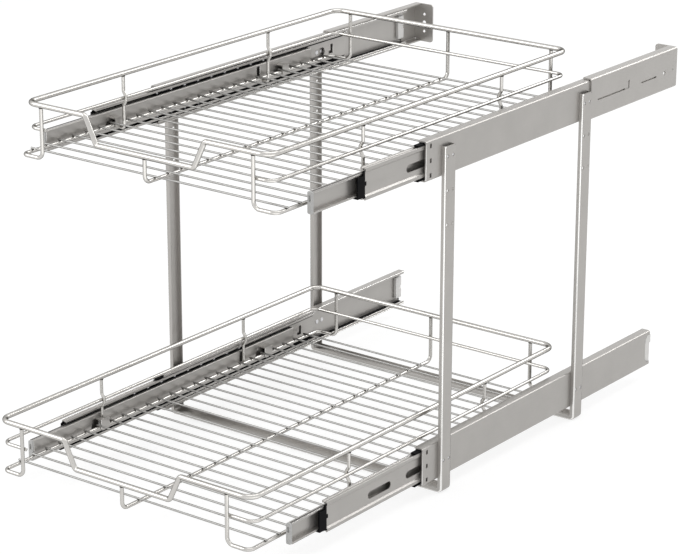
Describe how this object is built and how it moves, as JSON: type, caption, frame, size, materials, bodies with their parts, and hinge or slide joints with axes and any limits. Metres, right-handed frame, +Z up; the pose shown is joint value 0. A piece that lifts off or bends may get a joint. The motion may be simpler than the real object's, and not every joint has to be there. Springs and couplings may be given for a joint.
{
  "type": "pull out cabinet basket",
  "caption": "Pull-out wire baskets for a kitchen cabinet, on telescopic ball slides carried by U-shaped floor frames, with a height-adjustable upper tier and rear wall brackets.",
  "frame": {"origin": "middle of the footprint of the whole unit, on the cabinet floor, baskets as far out as in the picture", "axes": "+X to the right seen from the front, +Y into the cabinet so that the baskets pull out towards -Y, +Z up"},
  "size_m": [0.412, 0.8279, 0.4662],
  "materials": {
    "frame_steel": "satin zinc plated sheet steel",
    "slide_steel": "satin zinc plated roll formed steel",
    "basket_wire": "bright chrome plated steel wire",
    "screw_steel": "bright zinc plated",
    "ball_steel": "polished bearing steel",
    "dark_plastic": "black moulded plastic",
    "pale_plastic": "off-white moulded plastic",
    "grey_plastic": "grey moulded plastic"
  },
  "bodies": {
    "frame": {"front_frame": "frame_steel", "rear_frame": "frame_steel", "lower_left_cover_rail": "slide_steel", "lower_right_cover_rail": "slide_steel", "lower_left_outer_member": "slide_steel", "lower_right_outer_member": "slide_steel", "lower_rail_screws": "screw_steel", "lower_rail_pads": "dark_plastic", "lower_left_bumper": "pale_plastic", "lower_right_bumper": "pale_plastic"},
    "upper_rails": {"upper_left_cover_rail": "slide_steel", "upper_right_cover_rail": "slide_steel", "upper_left_outer_member": "slide_steel", "upper_right_outer_member": "slide_steel", "height_screws": "screw_steel", "upper_rail_pads": "dark_plastic", "upper_left_bumper": "pale_plastic", "upper_right_bumper": "pale_plastic"},
    "left_bracket": {"left_rear_bracket": "frame_steel"},
    "right_bracket": {"right_rear_bracket": "frame_steel"},
    "lower_middle_slides": {"lower_left_mid_member": "slide_steel", "lower_right_mid_member": "slide_steel", "lower_slide_guides": "dark_plastic"},
    "upper_middle_slides": {"upper_left_mid_member": "slide_steel", "upper_right_mid_member": "slide_steel", "upper_slide_guides": "dark_plastic"},
    "lower_outer_ball_cages": {"lower_outer_cages": "dark_plastic", "lower_outer_balls": "ball_steel"},
    "lower_inner_ball_cages": {"lower_inner_cages": "dark_plastic", "lower_inner_balls": "ball_steel"},
    "upper_outer_ball_cages": {"upper_outer_cages": "dark_plastic", "upper_outer_balls": "ball_steel"},
    "upper_inner_ball_cages": {"upper_inner_cages": "dark_plastic", "upper_inner_balls": "ball_steel"},
    "lower_basket": {"lower_left_drawer_member": "slide_steel", "lower_right_drawer_member": "slide_steel", "lower_drawer_caps": "grey_plastic", "lower_top_rim": "basket_wire", "lower_mid_rim": "basket_wire", "lower_left_base_wire": "basket_wire", "lower_centre_base_wire": "basket_wire", "lower_right_base_wire": "basket_wire", "lower_side_uprights": "basket_wire", "lower_cross_wires": "basket_wire"},
    "upper_basket": {"upper_left_drawer_member": "slide_steel", "upper_right_drawer_member": "slide_steel", "upper_drawer_caps": "grey_plastic", "upper_top_rim": "basket_wire", "upper_mid_rim": "basket_wire", "upper_left_base_wire": "basket_wire", "upper_centre_base_wire": "basket_wire", "upper_right_base_wire": "basket_wire", "upper_side_uprights": "basket_wire", "upper_cross_wires": "basket_wire"}
  },
  "joints": [
    {"name": "upper_height", "type": "slide", "parent": "frame", "child": "upper_rails", "axis": [0, 0, 1], "range_m": [-0.08, 0]},
    {"name": "left_bracket_slide", "type": "slide", "parent": "upper_rails", "child": "left_bracket", "axis": [0, 1, 0], "range_m": [0, 0.06]},
    {"name": "right_bracket_slide", "type": "slide", "parent": "upper_rails", "child": "right_bracket", "axis": [0, 1, 0], "range_m": [0, 0.06]},
    {"name": "lower_middle_slide", "type": "slide", "parent": "frame", "child": "lower_middle_slides", "axis": [0, -1, 0], "range_m": [-0.1745, 0.0755]},
    {"name": "lower_basket_slide", "type": "slide", "parent": "lower_middle_slides", "child": "lower_basket", "axis": [0, -1, 0], "range_m": [-0.0581, 0.1919]},
    {"name": "upper_middle_slide", "type": "slide", "parent": "upper_rails", "child": "upper_middle_slides", "axis": [0, -1, 0], "range_m": [-0.107, 0.143]},
    {"name": "upper_basket_slide", "type": "slide", "parent": "upper_middle_slides", "child": "upper_basket", "axis": [0, -1, 0], "range_m": [-0.0866, 0.1634]},
    {"name": "lower_outer_cage_slide", "type": "slide", "parent": "frame", "child": "lower_outer_ball_cages", "axis": [0, -1, 0], "range_m": [-0.08735, 0.03785]},
    {"name": "lower_inner_cage_slide", "type": "slide", "parent": "lower_middle_slides", "child": "lower_inner_ball_cages", "axis": [0, -1, 0], "range_m": [-0.02915, 0.09605]},
    {"name": "upper_outer_cage_slide", "type": "slide", "parent": "upper_rails", "child": "upper_outer_ball_cages", "axis": [0, -1, 0], "range_m": [-0.0536, 0.0716]},
    {"name": "upper_inner_cage_slide", "type": "slide", "parent": "upper_middle_slides", "child": "upper_inner_ball_cages", "axis": [0, -1, 0], "range_m": [-0.0434, 0.0818]}
  ],
  "couplings": [
    {"joint": "lower_outer_cage_slide", "follows": "lower_middle_slide", "ratio": 0.5},
    {"joint": "lower_inner_cage_slide", "follows": "lower_basket_slide", "ratio": 0.5},
    {"joint": "upper_outer_cage_slide", "follows": "upper_middle_slide", "ratio": 0.5},
    {"joint": "upper_inner_cage_slide", "follows": "upper_basket_slide", "ratio": 0.5}
  ]
}
